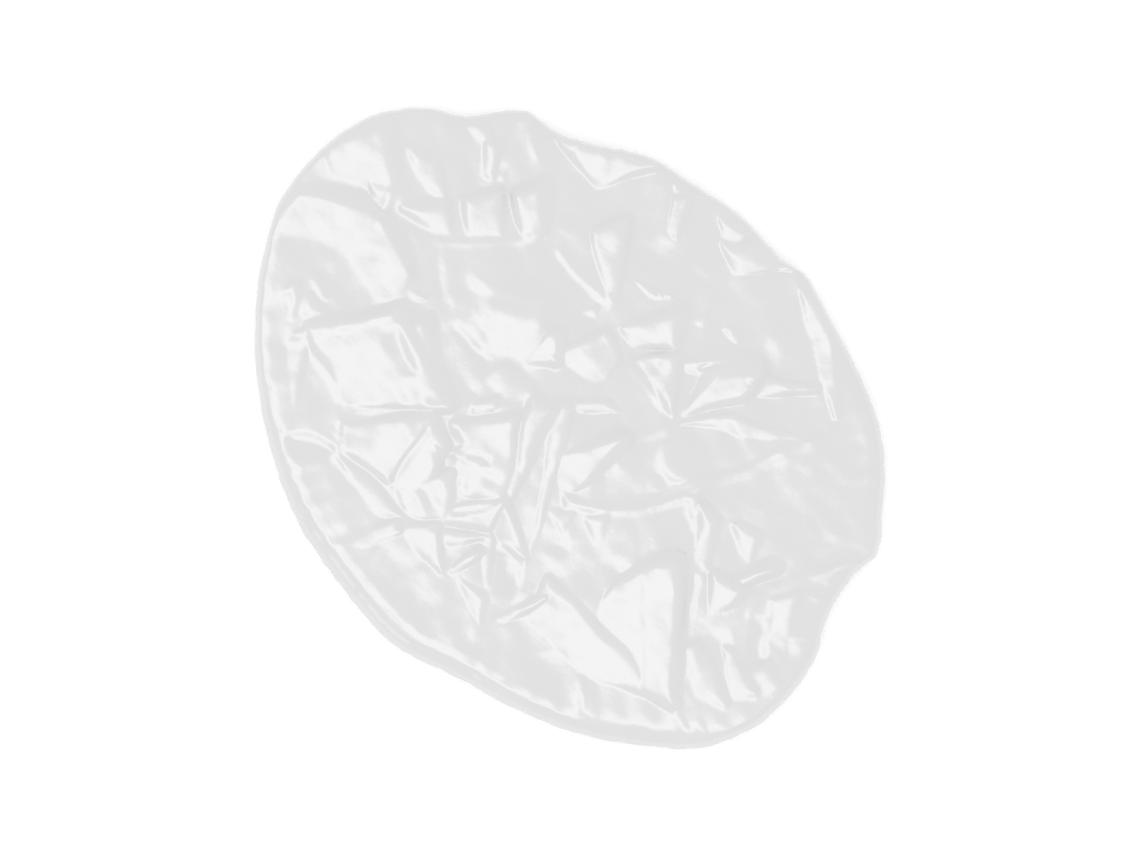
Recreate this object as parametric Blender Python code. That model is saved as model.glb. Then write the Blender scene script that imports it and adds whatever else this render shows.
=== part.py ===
"""A satin shower cap lying flat with its crown up: one cloth, gathered under onto an elastic band.

The cloth is a closed wall. Its outer face runs from the middle of the crown out to the rim, rolls under
and comes back, gathered, to the mouth. Its inner face lies one cloth wall inside that. The crown is
crumpled by a chart of folds, each a straight or bowed crest whose two flanks fall away like a tent.
+X is the cap's right, +Y its back, +Z up, and it lies on Z = 0 with its middle over the origin.
"""

import math
from collections import namedtuple

import bmesh
import bpy
import numpy as np

# Driving dimensions, in metres
CAP_WIDTH = 0.362  # left to right, over the rim
CAP_DEPTH = 0.369  # front to back, over the rim
RIM_HEIGHT = 0.021  # surface to the top of the rolled rim
CROWN_HEIGHT = 0.029  # surface to the middle of the crown, before its folds
RIM_ROLL = 0.013  # the outline to where the rim has turned level
CLOTH_WALL = 0.0016
FOLD_RISE = 0.0095  # height of the tallest fold above the cloth round it
MOUTH_WIDTH = 0.190  # clear width inside the band
BAND_WIDTH = 0.012
BAND_THICKNESS = 0.0036
BAND_EDGE = 0.0009  # bevel along the band's edges
GATHER_HEIGHT = 0.0022  # the pleats' height where they meet the band
SEAT_GAP = 0.0003  # the band to the cloth that it gathers

# How finely the cloth is cut into faces
PLEATS = 72  # gathers round the mouth, each one fold of two faces
GRID = PLEATS // 2  # the crown is a square grid of this many faces a side, drawn out to a round
SECTORS = 4 * GRID
RIM_TURN_DEG = (58, 28, 0, -40, -90)  # where the rim's roll has points, from level down to under
UNDER_STEPS = (0.35, 0.65, 0.85, 1.0)  # the under side's rings, from the rim to the mouth
LEAST_FLANK = 0.011  # a flank no narrower than the faces can follow

SATIN_COLOUR = (0.77, 0.77, 0.775, 1.0)
BAND_COLOUR = (0.74, 0.74, 0.745, 1.0)

# The rim, anticlockwise from the right. reach is the outline's distance from the middle, as a share of
# half the width and half the depth; roll and lift are shares of the rim's roll and height.
RimPoint = namedtuple("RimPoint", "turn_deg reach roll lift")
RIM = [
    RimPoint(3, 0.970, 0.90, 0.95),
    RimPoint(14, 0.918, 0.85, 0.92),
    RimPoint(24, 0.890, 0.85, 1.08),
    RimPoint(33, 0.884, 0.80, 1.02),
    RimPoint(38, 0.851, 0.80, 0.86),
    RimPoint(51, 0.853, 0.85, 1.05),
    RimPoint(63, 0.853, 0.85, 0.92),
    RimPoint(73, 0.880, 0.80, 1.10),
    RimPoint(85, 0.886, 0.85, 1.05),
    RimPoint(93, 0.924, 0.85, 0.85),
    RimPoint(98, 0.995, 0.80, 0.95),
    RimPoint(109, 1.027, 0.75, 0.84),
    RimPoint(115, 1.100, 0.75, 1.00),
    RimPoint(125, 1.165, 0.65, 1.00),
    RimPoint(142, 1.162, 0.60, 0.92),
    RimPoint(150, 1.118, 0.60, 0.95),
    RimPoint(165, 1.036, 0.65, 0.85),
    RimPoint(182, 0.960, 0.70, 0.95),
    RimPoint(200, 0.910, 0.85, 1.00),
    RimPoint(215, 0.878, 1.00, 1.10),
    RimPoint(231, 0.878, 1.05, 1.00),
    RimPoint(245, 0.859, 1.00, 1.00),
    RimPoint(260, 0.900, 0.95, 1.00),
    RimPoint(281, 1.006, 0.85, 0.86),
    RimPoint(293, 1.083, 0.80, 0.90),
    RimPoint(304, 1.103, 0.85, 1.05),
    RimPoint(317, 1.063, 0.95, 0.90),
    RimPoint(323, 1.014, 0.90, 0.70),
    RimPoint(329, 1.002, 0.80, 0.62),
    RimPoint(334, 1.018, 0.80, 0.80),
    RimPoint(338, 1.052, 0.90, 1.00),
    RimPoint(345, 1.026, 0.95, 1.05),
    RimPoint(354, 1.005, 0.95, 1.00),
]

# The folds. Each crest runs from (x0, y0) to (x1, y1), in shares of half the width and half the depth,
# and bows to its left by a share of its length. rise is a share of the fold height, below zero for a
# dent. left and right are the flanks' widths beside the crest, as shares of half the width.
Fold = namedtuple("Fold", "name x0 y0 x1 y1 bow rise left right")
FOLDS = [
    Fold("left pillow", -0.90, 0.71, -0.51, 0.44, 0.23, 0.90, 0.08, 0.19),
    Fold("back left fall", -0.57, 0.90, -0.59, 0.63, 0.13, 0.70, 0.10, 0.17),
    Fold("smile band", -0.52, 0.69, -0.08, 0.73, 0.02, 0.70, 0.06, 0.14),
    Fold("back point", -0.03, 0.90, 0.28, 0.81, 0.00, 0.50, 0.07, 0.12),
    Fold("right lens", 0.74, 0.43, 0.85, 0.05, 0.13, 0.55, 0.12, 0.08),
    Fold("back right slip", 0.52, 0.65, 0.70, 0.49, 0.00, 0.45, 0.09, 0.09),
    Fold("square's back edge", -0.91, 0.29, -0.46, 0.35, 0.03, 0.70, 0.09, 0.28),
    Fold("square's right edge", -0.55, 0.36, -0.37, 0.05, 0.05, 0.80, 0.08, 0.26),
    Fold("left rim dent", -0.92, -0.07, -0.72, -0.08, 0.00, -0.50, 0.07, 0.07),
    Fold("long valley", -0.41, 0.57, -0.03, 0.20, -0.27, -0.55, 0.07, 0.11),
    Fold("round pillow", -0.32, 0.43, -0.06, 0.38, 0.08, 0.75, 0.07, 0.19),
    Fold("triangle", 0.16, 0.65, 0.12, 0.35, 0.08, 0.55, 0.08, 0.15),
    Fold("middle post", 0.34, 0.48, 0.32, 0.02, 0.02, 0.75, 0.08, 0.18),
    Fold("middle dent", -0.15, 0.14, 0.28, 0.09, -0.05, -0.50, 0.08, 0.07),
    Fold("great ridge", 0.82, -0.05, -0.02, -0.22, 0.06, 1.00, 0.10, 0.16),
    Fold("upper branch", 0.34, 0.04, 0.79, 0.14, 0.15, 0.50, 0.12, 0.09),
    Fold("hub ridge", 0.32, 0.02, -0.02, -0.22, -0.10, 0.60, 0.08, 0.14),
    Fold("front post", 0.34, -0.21, 0.33, -0.88, 0.00, 0.75, 0.06, 0.27),
    Fold("long diagonal", -0.10, -0.44, 0.33, -0.86, -0.10, 0.80, 0.07, 0.20),
    Fold("star's long arm", -0.71, -0.08, -0.50, -0.30, 0.03, 0.55, 0.07, 0.14),
    Fold("star's right edge", -0.43, -0.03, -0.47, -0.28, 0.08, 0.60, 0.08, 0.20),
    Fold("front left slip", -0.21, -0.23, -0.12, -0.43, 0.00, 0.50, 0.06, 0.10),
    Fold("notch ridge", 0.94, -0.43, 0.62, -0.58, -0.12, 0.65, 0.07, 0.09),
]
FOLD_LEFT_AT_RIM = 0.55  # the share of a fold's rise that carries on over the rim
CREST_FULLNESS = 2.5  # how square a crest's two ends are, seen from the side


def clear_scene():
    for item in list(bpy.data.objects):
        bpy.data.objects.remove(item, do_unlink=True)


def round_curve(turns_deg, values, at_deg):
    """A smooth closed curve through values at turns_deg, read at at_deg: cubic pieces whose slope at
    each point is that of the line between its two neighbours."""
    turns = np.array(turns_deg, float)
    values = np.array(values, float)
    lap = np.concatenate([turns[-2:] - 360, turns, turns[:2] + 360])
    height = np.concatenate([values[-2:], values, values[:2]])
    slope = (height[2:] - height[:-2]) / (lap[2:] - lap[:-2])
    lap, height = lap[1:-1], height[1:-1]
    at = (np.asarray(at_deg, float) - lap[0]) % 360 + lap[0]
    piece = np.clip(np.searchsorted(lap, at, side="right") - 1, 0, len(lap) - 2)
    span = lap[piece + 1] - lap[piece]
    t = (at - lap[piece]) / span
    start = (1 + 2 * t) * (1 - t) ** 2 * height[piece] + t * (1 - t) ** 2 * span * slope[piece]
    end = t * t * (3 - 2 * t) * height[piece + 1] - t * t * (1 - t) * span * slope[piece + 1]
    return start + end


def rim_at(turn_deg):
    """(outline x, outline y, roll, height) in metres, at angles round the cap."""
    turns = [p.turn_deg for p in RIM]
    reach = round_curve(turns, [p.reach for p in RIM], turn_deg)
    roll = round_curve(turns, [p.roll for p in RIM], turn_deg) * RIM_ROLL
    lift = round_curve(turns, [p.lift for p in RIM], turn_deg) * RIM_HEIGHT
    angle = np.radians(turn_deg)
    return reach * np.cos(angle) * CAP_WIDTH / 2, reach * np.sin(angle) * CAP_DEPTH / 2, roll, lift


def fold_height(x, y):
    """The sum of all folds: beside its crest a fold falls in a straight line to nothing over its
    flank, and along the crest it rises from nothing at one end and back to nothing at the other."""
    height = np.zeros_like(x)
    for fold in FOLDS:
        x0, x1 = fold.x0 * CAP_WIDTH / 2, fold.x1 * CAP_WIDTH / 2
        y0, y1 = fold.y0 * CAP_DEPTH / 2, fold.y1 * CAP_DEPTH / 2
        length = math.hypot(x1 - x0, y1 - y0)
        ahead_x, ahead_y = (x1 - x0) / length, (y1 - y0) / length
        along = np.clip(((x - x0) * ahead_x + (y - y0) * ahead_y) / length, 0, 1)
        aside = (y - y0) * ahead_x - (x - x0) * ahead_y - fold.bow * length * 4 * along * (1 - along)
        left = max(fold.left * CAP_WIDTH / 2, LEAST_FLANK)
        right = max(fold.right * CAP_WIDTH / 2, LEAST_FLANK)
        flank = np.clip(1 - np.abs(aside) / np.where(aside > 0, left, right), 0, 1)
        crest = 1 - np.abs(2 * along - 1) ** CREST_FULLNESS
        height += fold.rise * FOLD_RISE * flank * crest
    return height


def square_to_round(a, b):
    """A square from -1 to 1 drawn out to a round: each square ring becomes a circle. Gives (share of
    the radius, angle in degrees)."""
    steep = np.abs(b) > np.abs(a)
    radius = np.where(steep, b, a)
    quotient = np.where(steep, a, b) / np.where(radius == 0, 1, radius)
    turn = np.where(steep, 90 - 45 * quotient, 45 * quotient) + np.where(radius < 0, 180, 0)
    return np.abs(radius), turn


def crown_points(a, b):
    """The crown's outer face for points of the square: out from the middle to where the rim turns,
    as high as a smooth dome and its folds."""
    share, turn = square_to_round(a, b)
    rim_x, rim_y, roll, lift = rim_at(turn)
    shoulder = 1 - roll / np.hypot(rim_x, rim_y)
    x, y = share * rim_x * shoulder, share * rim_y * shoulder
    dome = lift + (CROWN_HEIGHT - lift) * (1 - share**2) ** 2
    z = dome + fold_height(x, y) * (1 - (1 - FOLD_LEFT_AT_RIM) * share**4)
    return np.stack([x, y, z], axis=-1)


def grid_faces():
    """The crown's triangles. Each face of the grid is cut along the diagonal that lies nearer to the
    cloth at its middle, so that crests run along edges."""
    side = np.linspace(-1, 1, GRID + 1)
    points = crown_points(*np.meshgrid(side, side, indexing="ij"))
    middle = (side[1:] + side[:-1]) / 2
    true_height = crown_points(*np.meshgrid(middle, middle, indexing="ij"))[..., 2]
    z = points[..., 2]
    one_way = np.abs((z[:-1, :-1] + z[1:, 1:]) / 2 - true_height)
    other_way = np.abs((z[1:, :-1] + z[:-1, 1:]) / 2 - true_height)
    index = np.arange((GRID + 1) ** 2).reshape(GRID + 1, GRID + 1)
    corners = [index[:-1, :-1], index[1:, :-1], index[1:, 1:], index[:-1, 1:]]
    p, q, r, s = (corner.ravel() for corner in corners)
    keep = (one_way <= other_way).ravel()[:, None]
    first = np.where(keep, np.stack([p, q, r], 1), np.stack([p, q, s], 1))
    second = np.where(keep, np.stack([p, r, s], 1), np.stack([q, r, s], 1))
    return points.reshape(-1, 3), np.concatenate([first, second])


def grid_border():
    """Indices of the grid's outermost points, anticlockwise from the corner at -45 degrees."""
    index = np.arange((GRID + 1) ** 2).reshape(GRID + 1, GRID + 1)
    sides = [index[-1, :-1], index[:0:-1, -1], index[0, :0:-1], index[:-1, 0]]
    return np.concatenate(sides)


def band_faces(inner, outer):
    """Triangles between two closed rows of indices, the second outside or below the first."""
    next_inner, next_outer = np.roll(inner, -1), np.roll(outer, -1)
    first = np.stack([inner, outer, next_outer], 1)
    second = np.stack([inner, next_outer, next_inner], 1)
    return np.concatenate([first, second])


def rolled_rings(shoulder_z, inset):
    """The rings of the rim's roll and of the under side, for a face that lies inset inside the
    cloth's outer face. The roll is half an oval; the under side runs straight in to the mouth and is
    pleated up and down, more and more towards it."""
    turn = -45 + np.arange(SECTORS) * 360 / SECTORS
    rim_x, rim_y, roll, _ = rim_at(turn)
    reach = np.hypot(rim_x, rim_y)
    ray = np.stack([rim_x / reach, rim_y / reach], axis=1)
    half_height = shoulder_z / 2
    rings = []
    for tilt_deg in RIM_TURN_DEG:
        tilt = math.radians(tilt_deg)
        radius = reach - roll + (roll - inset) * math.cos(tilt)
        z = half_height + (half_height - inset) * math.sin(tilt)
        rings.append(np.column_stack([ray * radius[:, None], z]))
    around = np.stack([np.cos(np.radians(turn)), np.sin(np.radians(turn))], axis=1)
    mouth = around * (MOUTH_WIDTH / 2 + BAND_WIDTH + SEAT_GAP)
    under = ray * (reach - roll)[:, None]
    pleat = np.where(np.arange(SECTORS) % 2 == 0, 0.0, GATHER_HEIGHT)
    for step in UNDER_STEPS:
        plan = under * (1 - step) + mouth * step
        rings.append(np.column_stack([plan, inset + pleat * step]))
    return rings


def satin(name, colour, roughness):
    material = bpy.data.materials.new(name)
    material.use_nodes = True
    shader = material.node_tree.nodes["Principled BSDF"]
    shader.inputs["Base Color"].default_value = colour
    shader.inputs["Roughness"].default_value = roughness
    shader.inputs["Metallic"].default_value = 0.0
    material.diffuse_color = colour
    return material


def add_object(name, points, faces, material):
    mesh = bpy.data.meshes.new(name)
    mesh.from_pydata([tuple(p) for p in points.tolist()], [], faces.tolist())
    mesh.validate()
    mesh.materials.append(material)
    mesh.shade_smooth()
    mesh.set_sharp_from_angle(angle=math.radians(30))
    item = bpy.data.objects.new(name, mesh)
    bpy.context.scene.collection.objects.link(item)
    return item


def make_crown():
    """The cloth as one closed wall: its outer face, the same face one wall inside and turned over,
    and the cut edge at the mouth that joins them."""
    top, top_faces = grid_faces()
    border = grid_border()
    shoulder_z = top[border, 2]
    points, faces, mouth_rows = [], [], []
    count = 0
    for inset in (0.0, CLOTH_WALL):
        layer = [top - (0, 0, inset)] + rolled_rings(shoulder_z, inset)
        layer_faces = [top_faces]
        row = border
        for ring in range(len(layer) - 1):
            next_row = len(top) + ring * SECTORS + np.arange(SECTORS)
            layer_faces.append(band_faces(row, next_row))
            row = next_row
        layer_faces = np.concatenate(layer_faces) + count
        faces.append(layer_faces if inset == 0 else layer_faces[:, ::-1])
        mouth_rows.append(row + count)
        points += layer
        count += len(top) + (len(layer) - 1) * SECTORS
    faces.append(band_faces(*mouth_rows))
    material = satin("satin", SATIN_COLOUR, 0.36)
    return add_object("crown", np.concatenate(points), np.concatenate(faces), material)


def make_elastic_band():
    """The covered elastic: a flat ring round the mouth with bevelled edges, turned about +Z."""
    mesh = bpy.data.meshes.new("elastic_band")
    build = bmesh.new()
    inner = MOUTH_WIDTH / 2
    low = [(inner, 0), (inner + BAND_WIDTH, 0)]
    high = [(inner + BAND_WIDTH, BAND_THICKNESS), (inner, BAND_THICKNESS)]
    corners = [build.verts.new((radius, 0, z)) for radius, z in low + high]
    edges = [build.edges.new((corners[i - 1], corners[i])) for i in range(len(corners))]
    bmesh.ops.spin(
        build,
        geom=edges + corners,
        axis=(0, 0, 1),
        cent=(0, 0, 0),
        angle=2 * math.pi,
        steps=PLEATS,
        use_merge=True,
    )
    bmesh.ops.remove_doubles(build, verts=build.verts, dist=1e-6)
    bmesh.ops.recalc_face_normals(build, faces=build.faces)
    build.to_mesh(mesh)
    build.free()
    mesh.materials.append(satin("elastic", BAND_COLOUR, 0.5))
    item = bpy.data.objects.new("elastic_band", mesh)
    bpy.context.scene.collection.objects.link(item)
    bevel = item.modifiers.new("soft edges", "BEVEL")
    bevel.width = BAND_EDGE
    bevel.segments = 1
    bevel.limit_method = "ANGLE"
    bevel.angle_limit = math.radians(40)
    return item


clear_scene()
make_crown()
make_elastic_band()
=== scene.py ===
"""Looks of a satin shower cap that lies flat with its crown up, on a pale studio floor.

The crown is one cloth: crumpled on top, rolled softly over the rim and gathered under to the mouth, where a
ruched band of elastic holds it. Lengths in the tables are millimetres from the middle of the cap's outline,
+X to its right and +Y to its back; everything built is in metres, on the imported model's frame.
"""

import math
from collections import namedtuple

import bpy
import numpy as np
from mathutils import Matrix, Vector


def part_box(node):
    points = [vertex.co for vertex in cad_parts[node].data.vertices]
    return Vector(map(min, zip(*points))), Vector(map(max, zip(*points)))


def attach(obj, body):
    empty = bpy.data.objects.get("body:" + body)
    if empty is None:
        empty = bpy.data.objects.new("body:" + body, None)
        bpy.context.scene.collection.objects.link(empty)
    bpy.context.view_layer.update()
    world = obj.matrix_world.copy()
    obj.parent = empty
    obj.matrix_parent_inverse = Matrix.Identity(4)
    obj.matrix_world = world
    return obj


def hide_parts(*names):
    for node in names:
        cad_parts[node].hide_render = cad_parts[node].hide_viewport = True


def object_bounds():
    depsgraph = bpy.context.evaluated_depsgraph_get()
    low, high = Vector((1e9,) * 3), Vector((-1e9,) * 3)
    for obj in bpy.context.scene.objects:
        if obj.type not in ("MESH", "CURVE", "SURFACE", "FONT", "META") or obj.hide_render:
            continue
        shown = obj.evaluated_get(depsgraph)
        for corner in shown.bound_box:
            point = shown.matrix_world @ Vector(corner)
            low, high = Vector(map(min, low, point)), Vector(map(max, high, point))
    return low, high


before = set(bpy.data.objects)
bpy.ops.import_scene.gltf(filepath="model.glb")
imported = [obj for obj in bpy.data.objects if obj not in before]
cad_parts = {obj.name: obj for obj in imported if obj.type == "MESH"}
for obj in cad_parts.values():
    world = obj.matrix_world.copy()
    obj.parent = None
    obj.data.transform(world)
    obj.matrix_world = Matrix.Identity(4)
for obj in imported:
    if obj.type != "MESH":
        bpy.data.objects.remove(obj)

bl_info = {
    "name": "Satin shower cap",
    "version": (1, 0, 0),
    "blender": (4, 5, 0),
    "location": "View3D > Sidebar > Cap",
    "description": "Builds a crumpled satin shower cap, its ruched elastic band and a studio round it",
    "category": "Object",
}

MM = 0.001
WHITE = (1.0, 1.0, 1.0, 1.0)
CROWN_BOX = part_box("crown")
BAND_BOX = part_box("elastic_band")
CAD_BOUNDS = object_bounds()
PHOTO_WIDTH, PHOTO_HEIGHT = 1140, 855

# Faces of the cloth and of the band
FINE_GRID = 252  # faces a side of the top of the cloth's outer face
INNER_RATIO = 3  # the inner face's faces are this many times as wide; an odd number
BAND_AROUND = 864  # faces round the mouth
BAND_SECTION = 20  # faces round the band's section

# The rim's roll and the under side, ring by ring. A turn of 90 is level on top, 0 is upright at the outline
# and -90 is level underneath.
GRID_CORNER_DEG = -45  # where round the cap the top's grid has its first corner
FIRST_TURN_DEG = 77  # the roll's turn where the crown's bevel runs into it
ROLL_TURN_DEG = (71, 63, 54, 43, 30, 14, -4, -22, -42, -64, -90)
UNDER_STEPS = (0.12, 0.25, 0.4, 0.55, 0.7, 0.82, 0.92, 1.0)  # shares of the way in to the mouth
SEAT_GAP = 0.3 * MM  # between the gathered cloth and the band
WALL_FOLD_FADE_DEG = (40, -40)  # the roll's turns between which the wall's folds grow to their full depth
WALL_FOLD_SHARPNESS = 1.3  # 1 is the plain |sin|; above it the valleys are narrower
FOLD_LIFT = 0.9  # how far the wall's folds lift its foot, as a share of their depth
LIFT_FADE = 1.6  # that lift is gone at 1 / this of the way in to the mouth
GATHER_GROWTH = 1.1  # the gathers have their full height at 1 / this of the way in

# The crown between its middle (share 0) and where the rim turns (share 1)
DOME_FOOT = 0.96  # the dome's foot, as a share of the rim's height
DIP_POWER = 24  # power of the share by which the rim's dips come in
LIP_POWER = 5  # and by which its lip does
FADE_POWER = 4  # and by which the folds fade
FOLD_FADE = 0.25  # how much of the folds is gone at the rim
FINE_FADE = 0.3  # and how much of the small folds and the swells
PUCKER_START = 0.8  # the share at which the rim's puckers begin

# The crests and feet of panels and folds
SOFT_GAIN = 6  # a fully soft crest's radius is a sharp one's times 1 plus this
LEAST_FADE = 0.03  # the shortest share of its length over which a fold comes up
FOOT_END = 3  # a flank's foot is rounded out to this many times the flank's width past it
FALL_RANGE = (0.35, 2)  # least and most of the uneven falls beside the panels, as shares of the usual one

# What the short folds between the charted ones are drawn from, in millimetres and shares
ShortFolds = namedtuple("ShortFolds", "reach half_length flank steepest rise dents bow soft fade")
SHORT = ShortFolds(reach=0.46, half_length=(6, 24), flank=(3, 10), steepest=0.14, rise=(0.3, 1.0),
                   dents=0.35, bow=0.12, soft=0.6, fade=0.5)

# Smooth noise round the cap: sines of low to high whole waves a turn, how many are summed, and a seed
RingNoise = namedtuple("RingNoise", "low high waves seed")
RIM_KINKS = RingNoise(40, 120, 16, 21)
RIM_PUCKERS = RingNoise(30, 95, 22, 31)
RUCHE_PLACES = RingNoise(5, 40, 12, 51)
RUCHE_TWISTS = RingNoise(3, 20, 9, 52)

# Rows of gathers round the cap. shift says how far, in radians, the noise places moves them; their sizes
# are middle plus spread times the noise sizes, and no less than least.
Gathers = namedtuple("Gathers", "shift places middle spread least sizes")
PLEATS = Gathers(0.9, RingNoise(3, 17, 9, 41), 0.72, 0.2, 0.25, RingNoise(9, 31, 9, 42))
WALL_FOLDS = Gathers(1.1, RingNoise(3, 17, 9, 43), 0.65, 0.4, 0.35, RingNoise(5, 23, 9, 44))

# The band's section and its ruches
BAND_WIDTH = 12 * MM
BAND_SQUARENESS = 0.45  # 0 is an oval section, 1 a square one
RUCHES = 108
RUCHE_SHIFT = 0.8  # how far, in radians, smooth noise moves the ruches
RUCHE_TWIST = 0.35  # how much a ruche's depth changes round the section
RUCHE_PINCH = 0.42  # how much of the thickness the deepest ruche takes
RUCHE_SHARPNESS = 1.2  # power that narrows the pinches
RUCHE_NARROWING = 0.6  # how much of the pinch the width has too

# The satin's finish. Scales are waves a metre of cloth; THREAD_SCALE is along the threads' floats, across
# them and through the cloth.
THREAD_TURN_DEG = 24
THREAD_SCALE = (120, 2600, 1)
THREADS = {"Scale": 1.0, "Detail": 1.0}
CRINKLE = {"Scale": 160.0, "Detail": 3.0}
CLOUDS = {"Scale": 28.0, "Detail": 2.0}
THREAD_BUMP = {"Strength": 0.05, "Distance": 0.3 * MM}
CRINKLE_BUMP = {"Strength": 0.12, "Distance": 1.2 * MM}
TONE_DARK, TONE_LIGHT = 0.965, 1.03  # shares of the satin's colour
TONE_THREADS, GLOSS_THREADS = 0.2, 0.3  # shares of the threads in tone and in gloss; clouds make the rest
ROUGHNESS_SPREAD = 0.03
BAND_TINT, BAND_ROUGHNESS = 0.96, 0.45  # the ruched satin beside the crown's

# The floor's finish, and how far the camera sees, in metres
FLOOR_ROUGHNESS, FLOOR_ROUGHNESS_SPREAD, FLOOR_GLOSS = 0.85, 0.1, 0.1
FLOOR_GRAIN = {"Scale": 40.0, "Detail": 2.0}
CAMERA_REACH = 20

# The rim, anticlockwise from the right. reach is the outline's distance from the middle as a share of half
# the cap's width and depth; roll and lift are shares of the rim's roll and height.
RimPoint = namedtuple("RimPoint", "turn_deg reach roll lift")
RIM = [
    RimPoint(3, 0.970, 0.20, 0.95),
    RimPoint(14, 0.918, 0.15, 0.92),
    RimPoint(24, 0.890, 0.12, 1.08),
    RimPoint(33, 0.884, 0.10, 1.02),
    RimPoint(38, 0.851, 0.10, 0.86),
    RimPoint(51, 0.853, 0.10, 1.05),
    RimPoint(63, 0.853, 0.10, 0.92),
    RimPoint(73, 0.880, 0.10, 1.10),
    RimPoint(85, 0.886, 0.10, 1.05),
    RimPoint(93, 0.924, 0.10, 0.85),
    RimPoint(98, 0.995, 0.10, 0.95),
    RimPoint(109, 1.027, 0.10, 0.84),
    RimPoint(115, 1.100, 0.10, 1.00),
    RimPoint(125, 1.165, 0.12, 1.00),
    RimPoint(142, 1.162, 0.13, 0.92),
    RimPoint(150, 1.118, 0.15, 0.95),
    RimPoint(165, 1.036, 0.20, 0.95),
    RimPoint(182, 0.960, 0.32, 0.95),
    RimPoint(200, 0.910, 0.48, 1.00),
    RimPoint(215, 0.878, 0.52, 1.10),
    RimPoint(231, 0.878, 0.50, 1.00),
    RimPoint(245, 0.859, 0.50, 1.00),
    RimPoint(260, 0.900, 0.46, 1.00),
    RimPoint(281, 1.006, 0.40, 0.86),
    RimPoint(293, 1.083, 0.34, 0.90),
    RimPoint(304, 1.103, 0.30, 1.05),
    RimPoint(317, 1.063, 0.25, 0.90),
    RimPoint(323, 1.014, 0.20, 0.88),
    RimPoint(329, 1.002, 0.18, 0.88),
    RimPoint(334, 1.018, 0.18, 0.92),
    RimPoint(338, 1.052, 0.20, 1.00),
    RimPoint(345, 1.026, 0.22, 1.05),
    RimPoint(354, 1.005, 0.22, 1.00),
]

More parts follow.
